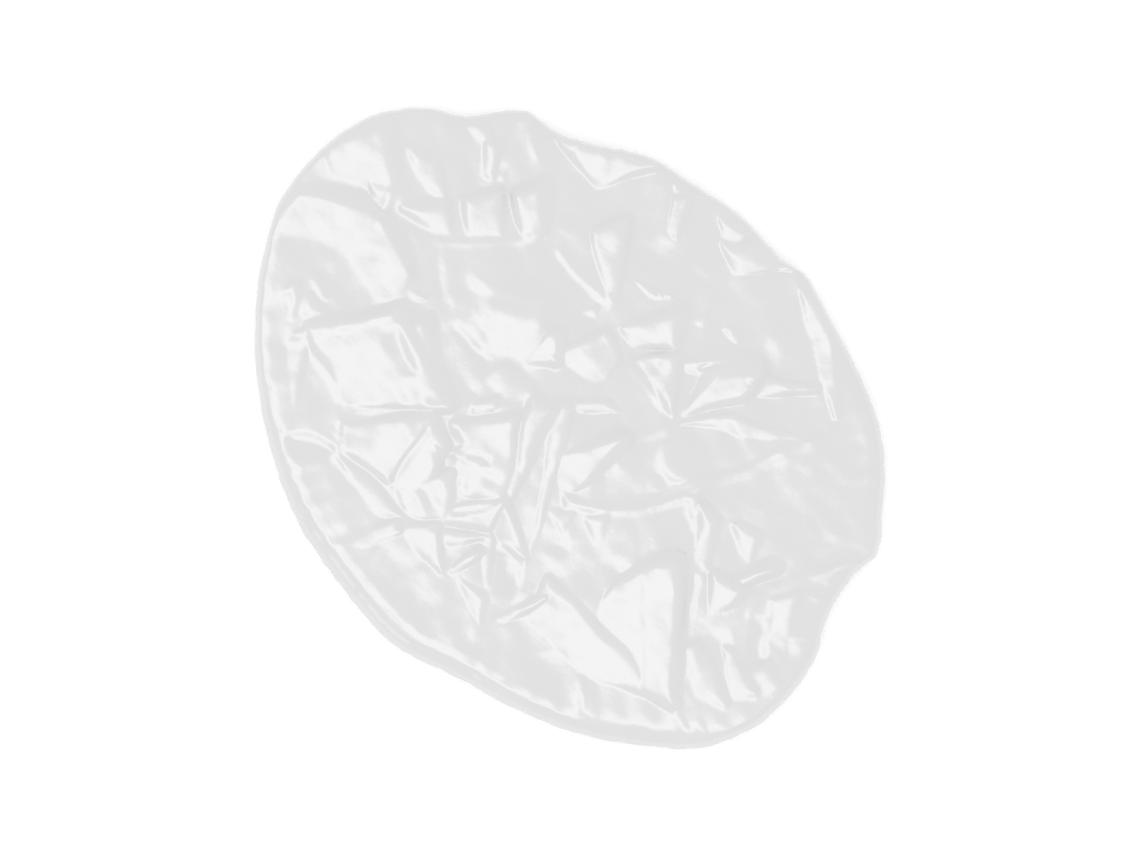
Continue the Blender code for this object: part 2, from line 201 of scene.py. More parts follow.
# The crown's flat panels between creases, in millimetres: four corners in turn, the way the panel faces in
# degrees from +X, its slope (rise over run), the height of its lowest corner and, from 0 to 1, how soft its
# edges are. Beyond its edges each panel falls away steeply; where two meet, the higher one shows.
Panel = namedtuple("Panel", "name x0 y0 x1 y1 x2 y2 x3 y3 faces_deg slope low soft")
PANELS = [
    # back left
    Panel("left patch upper", -142, 163, -108, 173, -100, 132, -140, 142, 236, 0.16, 0, 0.8),
    Panel("left patch lower", -128, 145, -101, 134, -108, 111, -112, 124, 225, 0.17, 0, 0.4),
    Panel("flame", -92, 160, -77, 150, -67, 127, -88, 142, 222, 0.18, 0, 0.1),
    Panel("smile left", -95, 125, -70, 128, -66, 110, -79, 111, 262, 0.2, 0, 0.2),
    Panel("smile middle", -58, 129, -42, 134, -38, 108, -60, 107, 262, 0.2, 0, 0.3),
    Panel("smile right", -31, 134, -17, 136, -14, 110, -27, 106, 255, 0.2, 0, 0.2),
    Panel("arrow shaft", -60, 174, -50, 178, -42, 164, -48, 160, 232, 0.217, 0, 0.1),
    Panel("arrow barb", -46, 164, -41, 163, -46, 142, -53, 143, 200, 0.208, 0, 0.2),
    Panel("arrow spot", -45, 149, -36, 149, -34, 136, -46, 136, 225, 0.144, 0, 0.8),
    Panel("square", -149, 57, -101, 66, -68, 12, -131, 13, 234, 0.1, 0.5, 0.1),
    Panel("square side", -95, 57, -84, 60, -81, 42, -86, 40, 215, 0.123, 3.0, 0.3),
    Panel("spike", -163, 54, -150, 56, -157, 10, -160, 12, 184, 0.145, 0, 0.1),
    Panel("left triangle", -157, 64, -148, 75, -138, 64, -152, 60, 225, 0.136, 0, 0.4),
    Panel("left tick", -172, 77, -157, 82, -160, 77, -166, 74, 240, 0.187, 0, 0.1),
    Panel("left strip", -160, 80, -157, 80, -160, 62, -164, 62, 185, 0.17, 0, 0.2),
    Panel("square tick", -118, 76, -101, 68, -103, 66, -113, 70, 240, 0.187, 0, 0.1),
    Panel("small point", -93, 79, -84, 74, -91, 72, -93, 73, 225, 0.191, 0, 0.0),
    Panel("pillow corner", -12, 53, -7, 53, -7, 37, -30, 37, 205, 0.15, 0, 0.1),
    Panel("valley foot", -38, 36, -20, 20, -38, 12, -54, 26, 222, 0.106, 0, 0.5),
    Panel("valley spot", -60, 3, -57, 13, -42, 15, -44, 11, 232, 0.141, 0, 0.4),
    # back right
    Panel("back triangle", -6, 166, 15, 160, 47, 151, 15, 137, 248, 0.21, 0, 0.1),
    Panel("light band top", 59, 141, 68, 141, 68, 130, 60, 128, 200, 0.218, 0, 0),
    Panel("light band", 60, 131, 68, 131, 61, 109, 55, 114, 195, 0.218, 0, 0),
    Panel("right patch point", 87, 120, 102, 113, 95, 106, 89, 105, 215, 0.196, 0, 0.1),
    Panel("right patch", 89, 104, 112, 105, 128, 90, 93, 87, 238, 0.22, 0, 0.5),
    Panel("right lens upper", 133, 79, 143, 68, 151, 50, 135, 50, 200, 0.196, 0, 0),
    Panel("right lens lower", 135, 52, 151, 51, 153, 8, 141, 33, 192, 0.196, 0, 0),
    Panel("triangle", 13, 113, 32, 119, 27, 74, 21, 63, 205, 0.15, 0, 0.3),
    Panel("wedge", 36, 85, 40, 83, 58, 76, 46, 74, 240, 0.2, 0, 0.1),
    Panel("spot", 4, 70, 16, 70, 16, 63, 5, 63, 235, 0.15, 0, 0.5),
    Panel("post", 28, 58, 60, 64, 60, 46, 33, 43, 228, 0.16, 0, 0.3),
    Panel("post lower", 33, 39, 60, 42, 59, 8, 46, 24, 205, 0.16, 0, 0.2),
    Panel("white band", -8, 41, 20, 55, 29, 38, 15, 25, 245, 0.13, 0, 0.1),
    Panel("front bar", -18, 16, 22, 15, 28, 8, -12, 8, 262, 0.18, 0, 0.2),
    Panel("loop", 62, 32, 66, 38, 99, 39, 84, 29, 252, 0.196, 0, 0.1),
    Panel("right streak", 87, 57, 93, 57, 103, 41, 97, 41, 222, 0.218, 0, 0.4),
    Panel("right spot", 68, 63, 78, 63, 76, 56, 69, 57, 225, 0.196, 0, 0.6),
    Panel("branch", 61, 6, 86, 28, 108, 31, 98, 18, 248, 0.196, 0, 0.1),
    Panel("branch tip", 97, 21, 108, 31, 141, 21, 104, 17, 248, 0.196, 0, 0.1),
    Panel("lower branch", 61, 4, 95, 5, 143, -10, 98, -6, 262, 0.207, 0, 0.1),
    Panel("hub panel", -9, -16, 29, -8, -2, -40, -8, -41, 188, 0.15, 0, 0.1),
    # front right
    Panel("finger left", -16, -46, 4, -49, 0, -66, -8, -66, 225, 0.13, 0, 0.7),
    Panel("finger", 8, -50, 19, -52, 17, -76, 11, -74, 220, 0.15, 0, 0.6),
    Panel("strip", 66, -40, 74, -41, 72, -60, 67, -62, 195, 0.207, 0, 0.2),
    Panel("strip lower", 76, -44, 82, -52, 79, -83, 68, -80, 200, 0.172, 0, 0.3),
    Panel("block", 94, -54, 108, -64, 104, -82, 97, -72, 222, 0.184, 0, 0.2),
    Panel("ray", 92, -88, 116, -82, 108, -86, 90, -96, 250, 0.23, 0, 0.1),
    Panel("ray lower", 82, -84, 98, -94, 92, -102, 79, -112, 222, 0.172, 0, 0.3),
    Panel("front panel", 28, -88, 49, -82, 49, -154, 11, -109, 192, 0.125, 0, 0.4),
    Panel("diagonal panel", -28, -112, -12, -87, 53, -155, 5, -143, 227, 0.115, 0, 0.3),
    Panel("notch tooth", 134, -94, 152, -101, 147, -110, 143, -104, 238, 0.253, 0, 0.1),
    Panel("notch panel", 115, -99, 132, -96, 124, -130, 112, -122, 215, 0.149, 0, 0.4),
    Panel("notch tick", 121, -120, 142, -122, 142, -126, 122, -125, 262, 0.299, 0, 0.1),
    Panel("front flame", 65, -124, 74, -124, 88, -158, 68, -160, 205, 0.149, 0, 0.7),
    Panel("front blade", 87, -126, 93, -128, 106, -152, 90, -156, 200, 0.172, 0, 0.2),
    Panel("front soft", 96, -140, 114, -136, 122, -152, 104, -160, 222, 0.138, 0, 0.8),
    # front left
    Panel("star panel", -129, 2, -80, 5, -105, -31, -131, -13, 200, 0.092, 0.2, 0.2),
    Panel("star panel right", -80, 4, -72, -10, -88, -42, -104, -31, 200, 0.1, 0.5, 0.2),
    Panel("hub patch", -100, -34, -70, -28, -72, -53, -95, -51, 225, 0.11, 0.3, 0.3),
    Panel("below star", -132, -17, -96, -50, -112, -55, -129, -32, 226, 0.115, 0, 0.6),
    Panel("star front", -102, -56, -76, -56, -74, -84, -92, -72, 212, 0.16, 0, 0.3),
    Panel("star ray", -131, -68, -100, -55, -98, -60, -118, -70, 245, 0.102, 0, 0.4),
    Panel("streak", -135, 5, -130, 5, -130, -13, -133, -9, 190, 0.17, 0, 0.1),
    Panel("cluster right", -37, -43, -24, -74, -31, -74, -49, -61, 222, 0.146, 0, 0.1),
    Panel("cluster low", -76, -59, -50, -63, -60, -68, -74, -70, 240, 0.128, 0, 0.3),
    Panel("narrow post left", -22, 16, -12, 10, -33, -40, -39, -36, 178, 0.148, 1.4, 0.4),
    Panel("narrow post", -6, 15, 0, 12, -21, -72, -26, -74, 172, 0.17, 0, 0.2),
    Panel("tick", -71, -82, -52, -73, -55, -78, -68, -85, 250, 0.221, 0, 0.0),
    Panel("small triangle", -66, -84, -51, -98, -52, -112, -61, -100, 205, 0.167, 0, 0.1),
    Panel("thin strip", -52, -62, -46, -62, -47, -92, -51, -92, 190, 0.208, 0, 0.3),
    Panel("ledge", -42, -110, -14, -98, -20, -102, -38, -113, 250, 0.197, 0, 0),
    Panel("front panel right", 41, -83, 60, -78, 60, -158, 41, -150, 192, 0.14, 2.8, 0.2),
    Panel("cluster field", -68, 3, -32, 5, -37, -42, -70, -40, 203, 0.092, 0, 0.3),
    Panel("cluster foot", -72, -47, -38, -43, -48, -60, -78, -56, 228, 0.13, 0, 0.2),
]

# Rounded folds, in millimetres. Each crest runs from (x0, y0) to (x1, y1) and bows to its left by a share of
# its length. rise is the crest's height, below zero for a dent. left and right are the flanks' widths beside
# the crest. fade0 and fade1 are the shares of the length over which the crest comes up from nothing at its
# two ends. lean0 and lean1 say how far an end's edge moves in along the crest for each step away from it,
# and soft, from 0 to 1, how round the crest is.
Fold = namedtuple("Fold", "name x0 y0 x1 y1 bow rise left right fade0 fade1 lean0 lean1 soft")
FOLDS = [
    Fold("left pillow", -169, 131, -90, 79, 0.235, 3.9, 7, 27, 0.12, 0.10, 0.0, 0.2, 0.1),
    Fold("round pillow", -63, 79, 0, 57, -0.06, 2.8, 22, 20, 0.3, 0.3, 0, 0, 0.6),
    Fold("great ridge", -6, -40, 80, -34, -0.11, 0.9, 8, 40, 0.06, 0.3, 0, 0, 0),
    Fold("lens arc", 61, -1, 70, -33, -0.30, 1.0, 10, 5, 0.20, 0.20, 0, 0, 0.3),
    Fold("notch ridge", 112, -112, 170, -79, 0.13, 1.4, 10, 50, 0.15, 0.08, 0, 0, 0),
]

# Small creases that lie on the panels and folds, in the same columns
CREASES = [
    Fold("great ridge edge", -6, -40, 80, -34, -0.11, 0.8, 3, 4, 0.05, 0.05, 0, 0, 0),
    Fold("square back lip", -163, 53, -100, 67, -0.03, 0.5, 3, 3, 0.10, 0.05, 0, 0, 0),
    Fold("square back tail", -101, 67, -83, 62, 0, 0.5, 3, 3, 0.05, 0.40, 0, 0, 0),
    Fold("square leaf", -99, 60, -87, 29, -0.12, -1.0, 4, 8, 0.15, 0.15, 0, 0, 0),
    Fold("square front lip", -132, 13, -67, 12, -0.04, 0.4, 3, 3, 0.08, 0.05, 0, 0, 0),
    Fold("square left lip", -149, 55, -131, 13, -0.05, 0.5, 3, 3, 0.08, 0.08, 0, 0, 0),
    Fold("patch crease", -97, 147, -108, 111, -0.05, 0.7, 3, 4, 0.30, 0.20, 0, 0, 0),
    Fold("left tick b", -147, 90, -139, 71, 0.05, 0.9, 3, 4, 0.35, 0.10, 0, 0, 0),
    Fold("smile lip", -81, 110, -14, 110, -0.06, 0.5, 3, 3, 0.08, 0.08, 0, 0, 0),
    Fold("back tick", -25, 173, -17, 152, 0, 0.5, 2, 3, 0.30, 0.20, 0, 0, 0),
    Fold("valley line", -76, 108, -66, 58, -0.05, -0.4, 4, 4, 0.20, 0.30, 0, 0, 0),
    Fold("valley ridge", -68, 62, -42, 34, -0.04, -0.6, 3, 4, 0.20, 0.20, 0, 0, 0),
    Fold("valley streak", -59, 62, -46, 43, 0.03, 0.5, 3, 4, 0.30, 0.30, 0, 0, 0),
    Fold("valley foot line", -19, 19, -60, 4, 0, 0.5, 3, 3, 0.05, 0.25, 0, 0, 0),
    Fold("pillow edge", -29, 37, -6, 38, 0, 0.4, 3, 3, 0.20, 0.08, 0, 0, 0),
    Fold("triangle line", -9, 106, 23, 71, -0.04, 0.55, 4, 3, 0.12, 0.10, 0, 0, 0),
    Fold("post slit", 33, 39.5, 58, 44, 0.03, -0.9, 3, 2.5, 0.15, 0.20, 0, 0, 0),
    Fold("post lower dent", 36, 32, 54, 36, 0, -0.6, 4, 4, 0.30, 0.30, 0, 0, 0.4),
    Fold("post foot line", 31, 37, 58, 8, 0, 0.4, 3, 3, 0.10, 0.10, 0, 0, 0),
    Fold("white band edge", -6, 41, 21, 55, 0, 0.3, 3, 4, 0.10, 0.10, 0, 0, 0),
    Fold("loop slit", 72, 34.5, 90, 36, 0, -0.9, 2.5, 2.5, 0.25, 0.25, 0, 0, 0),
    Fold("branch knot", 104, 32, 102, 19, 0.25, 0.8, 3, 4, 0.30, 0.30, 0, 0, 0.2),
    Fold("branch knot core", 105, 28, 105, 22, 0, -0.7, 3, 3, 0.40, 0.40, 0, 0, 0.4),
    Fold("hub arm", 58, 4, 28, -8, 0.06, 0.35, 3, 3, 0.10, 0.30, 0, 0, 0.2),
    Fold("rim dent", -166, -6, -130, -15, 0.03, -1.5, 9, 9, 0.20, 0.25, 0, 0, 0),
    Fold("rim dent lip a", -168, -3, -155, -24, -0.05, 0.7, 4, 5, 0.15, 0.20, 0, 0, 0.1),
    Fold("rim dent lip b", -157, -23, -131, -14, 0, 0.5, 3, 4, 0.10, 0.08, 0, 0, 0),
    Fold("rim dent lip c", -166, -2, -131, -13, 0.12, 0.5, 3, 3, 0.10, 0.08, 0, 0, 0),
    Fold("star line", -131, -14, -95, -50, 0.03, -0.4, 3, 2, 0.06, 0.08, 0, 0, 0),
    Fold("star crease", -80, 5, -104, -32, 0.06, -0.6, 3, 2.5, 0.15, 0.10, 0, 0, 0),
    Fold("hub crease a", -90, -33, -84, -52, 0.1, -0.4, 3, 3, 0.30, 0.30, 0, 0, 0.2),
    Fold("hub crease b", -82, -30, -74, -50, -0.1, 0.4, 3, 4, 0.30, 0.30, 0, 0, 0.2),
    Fold("star low line", -137, -70, -92, -52, 0.03, 0.5, 3, 3, 0.15, 0.06, 0, 0, 0),
    Fold("star short line", -113, -76, -92, -54, 0, 0.5, 3, 3, 0.30, 0.06, 0, 0, 0),
    Fold("star front line", -76, -58, -73, -84, 0, 0.4, 3, 3, 0.15, 0.15, 0, 0, 0),
    Fold("cluster ring", -68, 8, -63, -6, 0.2, 0.6, 3, 3, 0.20, 0.30, 0, 0, 0),
    Fold("cluster arc", -78, -8, -46, -17, -0.18, 0.8, 3, 3, 0.12, 0.15, 0, 0, 0),
    Fold("cluster crease", -76, -12, -67, -37, -0.05, -1.0, 3.5, 3.5, 0.15, 0.20, 0, 0, 0),
    Fold("cluster line a", -66, -21, -44, -19, 0.1, -0.8, 3, 3, 0.15, 0.15, 0, 0, 0),
    Fold("cluster line b", -71, -49, -38, -42, -0.05, -0.8, 3, 3, 0.15, 0.10, 0, 0, 0),
    Fold("cluster line c", -82, -57, -50, -62, 0.06, -0.6, 3, 3, 0.15, 0.12, 0, 0, 0),
    Fold("pocket brow", -48, -67, -23, -79, 0.15, 0.5, 3, 3, 0.15, 0.12, 0, 0, 0),
    Fold("pocket", -44, -84, -26, -88, 0, -1.2, 9, 9, 0.35, 0.35, 0, 0, 0.5),
    Fold("strip sliver", 72, -84, 67, -122, 0, -1.1, 4, 3, 0.10, 0.50, 0, 0, 0),
    Fold("block line", 100, -110, 121, -89, 0.1, 0.5, 3, 3, 0.20, 0.20, 0, 0, 0),
    Fold("ravine a", 109, -106, 108, -140, 0, -1.6, 4, 5, 0.20, 0.30, 0, 0, 0.3),
    Fold("ravine b", 82, -116, 90, -140, 0, -1.3, 7, 9, 0.30, 0.40, 0, 0, 0.6),
    Fold("zigzag a", 60, -160, 68, -184, 0, 0.6, 3, 4, 0.20, 0.20, 0, 0, 0),
    Fold("zigzag b", 71, -166, 80, -182, 0, 0.6, 3, 4, 0.20, 0.20, 0, 0, 0),
    Fold("front tick", 7, -140, 7, -166, 0, 0.5, 2, 3, 0.20, 0.20, 0, 0, 0.1),
    Fold("right mark", 134, -48, 142, -63, 0, 0.4, 3, 3, 0.30, 0.30, 0, 0, 0),
    Fold("lens patch a", 34, -12, 28, -28, 0, 0.7, 5, 7, 0.40, 0.40, 0, 0, 0.9),
    Fold("lens patch b", 50, -26, 49, -38, 0, 0.5, 3, 4, 0.30, 0.30, 0, 0, 0.6),
    Fold("front soft", -84, -92, -78, -122, 0, -0.7, 6, 6, 0.40, 0.40, 0, 0, 0.7),
    Fold("notch line", 122, -88, 168, -80, 0.04, 1.6, 4, 6.5, 0.8, 0.02, 0, 0, 0),
    Fold("cluster dent", -71, -3, -62, -14, 0, -1.0, 4, 5, 0.3, 0.3, 0, 0, 0.3),
    Fold("leaf fold", -63, -36, -40, -27, 0.1, -0.6, 4, 5, 0.3, 0.3, 0, 0, 0.4),
    Fold("pillow brow", -62, 87, -6, 72, -0.03, 0.85, 6, 5.5, 0.15, 0.2, 0, 0, 0.1),
    Fold("great ridge thick", 62, -37, 145, -4.5, -0.012, 1.0, 3.5, 5.6, 0.12, 0.05, 0, 0, 0),
]

# Swells of the cloth under the folds: (length of the wave, height, how many waves are summed, seed)
Swell = namedtuple("Swell", "length height waves seed")
SWELLS = [
    Swell(80, 0.22, 9, 33),
    Swell(38, 0.30, 14, 49),
    Swell(17, 0.085, 14, 6),
]
UNEVEN = Swell(75, 0.30, 9, 17)  # how much steeper and gentler the falls beside the panels are in places
WARP = Swell(42, 0.75, 9, 3)  # how far the folds' crests wander from their lines
LENGTH_SPREAD = (0.7, 1.4)  # shortest and longest of a swell's waves, as shares of its length


def smooth(share):
    """0 up to 0, 1 from 1, and 3s^2 - 2s^3 between."""
    share = np.clip(share, 0, 1)
    return share * share * (3 - 2 * share)


def round_curve(turns_deg, values, at_deg):
    """A smooth closed curve through values at turns_deg, read at at_deg: cubic pieces whose slope at
    each point is that of the line between its two neighbours."""
    turns = np.array(turns_deg, float)
    values = np.array(values, float)
    lap = np.concatenate([turns[-2:] - 360, turns, turns[:2] + 360])
    height = np.concatenate([values[-2:], values, values[:2]])
    slope = (height[2:] - height[:-2]) / (lap[2:] - lap[:-2])
    lap, height = lap[1:-1], height[1:-1]
    at = (np.asarray(at_deg, float) - lap[0]) % 360 + lap[0]
    piece = np.clip(np.searchsorted(lap, at, side="right") - 1, 0, len(lap) - 2)
    span = lap[piece + 1] - lap[piece]
    t = (at - lap[piece]) / span
    start = (1 + 2 * t) * (1 - t) ** 2 * height[piece] + t * (1 - t) ** 2 * span * slope[piece]
    end = t * t * (3 - 2 * t) * height[piece + 1] - t * t * (1 - t) * span * slope[piece + 1]
    return start + end


def plane_waves(x, y, swell, seed_step=0):
    """Smooth noise of about unit height: the sum of sines of (k . p + phase), each wave turned, stretched
    and shifted at random, divided by the root of half their number. x and y are in metres."""
    draw = np.random.default_rng(swell.seed + seed_step)
    total = np.zeros_like(x)
    for _ in range(swell.waves):
        turn = draw.uniform(0, 2 * math.pi)
        k = 2 * math.pi / (swell.length * MM * draw.uniform(*LENGTH_SPREAD))
        phase = draw.uniform(0, 2 * math.pi)
        total += np.sin(k * (x * math.cos(turn) + y * math.sin(turn)) + phase)
    return total / math.sqrt(swell.waves / 2)


def ring_waves(turn_deg, noise):
    """Smooth noise of about unit height round the cap: the sum of sines of a whole number of waves a turn,
    at random phases, divided by the root of half their number."""
    draw = np.random.default_rng(noise.seed)
    turn = np.radians(turn_deg)
    total = np.zeros_like(turn)
    for _ in range(noise.waves):
        total += np.sin(draw.integers(noise.low, noise.high + 1) * turn + draw.uniform(0, 2 * math.pi))
    return total / math.sqrt(noise.waves / 2)


def gather_waves(turn_deg, count, row):
    """(sizes, waves) of a row of count gathers round the cap: the wave is |sin| of an uneven phase, from 0
    in a valley to 1 on a crest, and the sizes are uneven too, 1 at most."""
    phase = np.radians(turn_deg) * count / 2 + row.shift * ring_waves(turn_deg, row.places)
    size = row.middle + row.spread * ring_waves(turn_deg, row.sizes)
    return np.clip(size, row.least, 1), np.abs(np.sin(phase))


def one_fold(x, y, fold, cap):
    """The height that one fold adds at x, y (metres). Beside the crest it falls straight to nothing over
    the flank, round at the crest and at the foot: rise * fall(1 - (hypot(d, r) - r) / width), with d the
    distance beside the bowed crest and r its rounding. Along the crest it fades in and out smoothly."""
    x0, y0, x1, y1 = (value * MM for value in fold[1:5])
    length = math.hypot(x1 - x0, y1 - y0)
    ahead_x, ahead_y = (x1 - x0) / length, (y1 - y0) / length
    along = ((x - x0) * ahead_x + (y - y0) * ahead_y) / length
    aside = (y - y0) * ahead_x - (x - x0) * ahead_y - fold.bow * length * 4 * along * (1 - along)
    least = abs(fold.rise) / cap.steepest_fold
    left, right = (max(width, least) * MM for width in (fold.left, fold.right))
    away = np.abs(aside) / length
    start = smooth((along - fold.lean0 * away) / max(fold.fade0, LEAST_FADE))
    crest = start * smooth((1 - along - fold.lean1 * away) / max(fold.fade1, LEAST_FADE))
    width = np.where(aside > 0, left, right)
    rounding = cap.crest_round * (1 + SOFT_GAIN * fold.soft)
    up = 1 + (rounding - np.hypot(aside, rounding)) / width
    foot = cap.foot_round
    fall = (up + np.hypot(up, foot)) / 2 - (math.hypot(1, foot) - 1) / 2
    fall = np.where(up > -FOOT_END, np.maximum(fall - foot * foot / (4 * FOOT_END), 0), 0)
    return fold.rise * MM * fall * crest


def one_panel(x, y, panel, fall, cap):
    """The height that one panel gives at x, y (metres): its plane, low + slope * distance back from its
    lowest corner, less the fall times the distance past its nearest edge, both smoothly joined."""
    corners = np.array(panel[1:9]).reshape(4, 2) * MM
    faces = math.radians(panel.faces_deg)
    ahead = np.array([math.cos(faces), math.sin(faces)])
    reach = (corners @ ahead).max()
    plane = panel.low * MM + panel.slope * (reach - x * ahead[0] - y * ahead[1])
    middle = corners.mean(axis=0)
    deepest = np.full_like(x, -math.inf)
    nearest = np.full_like(x, math.inf)
    for corner, after in zip(corners, np.roll(corners, -1, axis=0)):
        side = after - corner
        length = math.hypot(*side)
        normal = np.array([side[1], -side[0]]) / length
        if (middle - corner) @ normal > 0:
            normal = -normal
        from_x, from_y = x - corner[0], y - corner[1]
        deepest = np.maximum(deepest, from_x * normal[0] + from_y * normal[1])
        along = np.clip((from_x * side[0] + from_y * side[1]) / length**2, 0, 1)
        nearest = np.minimum(nearest, np.hypot(from_x - along * side[0], from_y - along * side[1]))
    past = np.where(deepest > 0, nearest, deepest)
    rounding = cap.crest_round * (1 + SOFT_GAIN * panel.soft)
    return plane - (fall + panel.slope) * (past + np.hypot(past, rounding)) / 2


def main_folds(x, y, cap):
    """Whichever panel or fold stands highest at each point, with the creases added on top. All are read at
    points pushed a little aside by smooth noise, so that no edge is quite straight, and the cloth falls
    from the panels' edges unevenly, by the usual fall times 1 plus smooth noise."""
    push = WARP.height * MM
    pushed_x = x + push * plane_waves(x, y, WARP)
    pushed_y = y + push * plane_waves(x, y, WARP, 1)
    fall = cap.panel_fall * np.clip(1 + UNEVEN.height * plane_waves(x, y, UNEVEN), *FALL_RANGE)
    height = np.zeros_like(x)
    for panel in PANELS:
        height = np.maximum(height, one_panel(pushed_x, pushed_y, panel, fall, cap))
    for fold in FOLDS:
        height = np.maximum(height, one_fold(pushed_x, pushed_y, fold, cap))
    for crease in CREASES:
        height += one_fold(pushed_x, pushed_y, crease, cap)
    return height


def small_folds(x, y, cap):
    """Short folds between the main ones, placed and turned at random and added up as creases are. Each
    rises by a random share of the steepest slope times its narrower flank."""
    draw = np.random.default_rng(cap.seed)
    height = np.zeros_like(x)
    reach = SHORT.reach * cap.width / MM
    for _ in range(cap.small_folds):
        distance = math.sqrt(draw.uniform(0, 1)) * reach
        place = draw.uniform(0, 2 * math.pi)
        half_length = draw.uniform(*SHORT.half_length)
        turn = draw.uniform(0, math.pi)
        left, right = draw.uniform(*SHORT.flank, 2)
        upward = draw.choice([-1, 1], p=[SHORT.dents, 1 - SHORT.dents])
        rise = upward * draw.uniform(*SHORT.rise) * SHORT.steepest * min(left, right)
        mid_x, mid_y = distance * math.cos(place), distance * math.sin(place)
        step_x, step_y = half_length * math.cos(turn), half_length * math.sin(turn)
        bow, soft = draw.uniform(-SHORT.bow, SHORT.bow), draw.uniform(0, SHORT.soft)
        fold = Fold("small", mid_x - step_x, mid_y - step_y, mid_x + step_x, mid_y + step_y,
                    bow, rise, left, right, SHORT.fade, SHORT.fade, 0, 0, soft)
        height += one_fold(x, y, fold, cap)
    return height


def rim_at(turn_deg, cap):
    """(outline x, outline y, roll, height) in metres, at angles round the cap: smooth curves through the
    rim's points, with small kinks in the outline."""
    turns = [point.turn_deg for point in RIM]
    reach = round_curve(turns, [point.reach for point in RIM], turn_deg)
    reach = reach + cap.rim_kink * ring_waves(turn_deg, RIM_KINKS)
    roll = round_curve(turns, [point.roll for point in RIM], turn_deg) * cap.rim_roll
    lift = round_curve(turns, [point.lift for point in RIM], turn_deg) * cap.rim_height
    angle = np.radians(turn_deg)
    return reach * np.cos(angle) * cap.width / 2, reach * np.sin(angle) * cap.depth / 2, roll, lift


def square_to_round(a, b):
    """A square from -1 to 1 drawn out to a round: each square ring becomes a circle. Gives (share of
    the radius, angle in degrees)."""
    steep = np.abs(b) > np.abs(a)
    radius = np.where(steep, b, a)
    quotient = np.where(steep, a, b) / np.where(radius == 0, 1, radius)
    turn = np.where(steep, 90 - 45 * quotient, 45 * quotient) + np.where(radius < 0, 180, 0)
    return np.abs(radius), turn


def crown_height(x, y, share, turn_deg, roll, lift, cap):
    """The crown's height at share of the way out. A low dome stands on the rim's height and dips where
    the rim does; it rises to a lip by a share of the roll, and outside the lip a band as wide as rim_band
    slopes down by rim_bevel. The folds, the small folds and the swells come on top and fade towards the
    rim, and the rim's puckers fade inwards."""
    foot = DOME_FOOT * cap.rim_height
    dome = foot + np.minimum(lift - foot, 0) * share**DIP_POWER + cap.rim_lip * roll * share**LIP_POWER
    past_lip = cap.rim_band - np.hypot(x, y) * (1 / np.maximum(share, 0.01) - 1)
    dome = dome - cap.rim_bevel * (past_lip + np.hypot(past_lip, cap.crest_round)) / 2
    dome = dome + (cap.height - foot) * cap.dome * (1 - share**2) ** 2
    folds = main_folds(x, y, cap) * (1 - FOLD_FADE * share**FADE_POWER)
    fine = small_folds(x, y, cap)
    for swell in SWELLS:
        fine += swell.height * MM * plane_waves(x, y, swell)
    fine = fine * (1 - FINE_FADE * share**FADE_POWER)
    near_rim = smooth((share - PUCKER_START) / (1 - PUCKER_START))
    return dome + cap.relief * (folds + fine) + cap.pucker * ring_waves(turn_deg, RIM_PUCKERS) * near_rim


def crown_top(count, cap):
    """The top of the crown as a square grid of count faces a side, drawn out to where the rim turns, and
    each point's place on the flat cut, as far from the middle as on the cap."""
    side = np.linspace(-1, 1, count + 1)
    share, turn_deg = square_to_round(*np.meshgrid(side, side, indexing="ij"))
    rim_x, rim_y, roll, lift = rim_at(turn_deg, cap)
    shoulder = 1 - roll / np.hypot(rim_x, rim_y)
    x, y = share * rim_x * shoulder, share * rim_y * shoulder
    z = crown_height(x, y, share, turn_deg, roll, lift, cap)
    reach = share * np.hypot(rim_x, rim_y) * shoulder
    angle = np.radians(turn_deg)
    points = np.stack([x, y, z], axis=-1).reshape(-1, 3)
    places = np.stack([reach * np.cos(angle), reach * np.sin(angle)], axis=-1).reshape(-1, 2)
    return points, places


def grid_quads(count):
    """The faces of a square grid of count faces a side, as rows of four indices."""
    index = np.arange((count + 1) ** 2).reshape(count + 1, count + 1)
    corners = [index[:-1, :-1], index[1:, :-1], index[1:, 1:], index[:-1, 1:]]
    return np.stack([corner.ravel() for corner in corners], axis=1)


def grid_border(count):
    """Indices of the grid's outermost points, anticlockwise from the corner at GRID_CORNER_DEG."""
    index = np.arange((count + 1) ** 2).reshape(count + 1, count + 1)
    sides = [index[-1, :-1], index[:0:-1, -1], index[0, :0:-1], index[:-1, 0]]
    return np.concatenate(sides)


def ring_quads(inner, outer):
    """Quads between two closed rows of indices, the second outside or below the first."""
    return np.stack([inner, outer, np.roll(outer, -1), np.roll(inner, -1)], axis=1)


def under_pleats(turn_deg, cap):
    """The under side's gathers, from 0 in a valley to 1 on a crest: size * |sin|."""
    size, wave = gather_waves(turn_deg, cap.pleats, PLEATS)
    return size * wave


def wall_folds(turn_deg, cap):
    """The upright folds under the rim, from 0 on a crest to 1 in a valley: every second pleat of the under
    side reaches the rim, as size * (1 - |sin|), sharpened by a power."""
    size, wave = gather_waves(turn_deg, cap.pleats / 2, WALL_FOLDS)
    return size * (1 - wave) ** WALL_FOLD_SHARPNESS


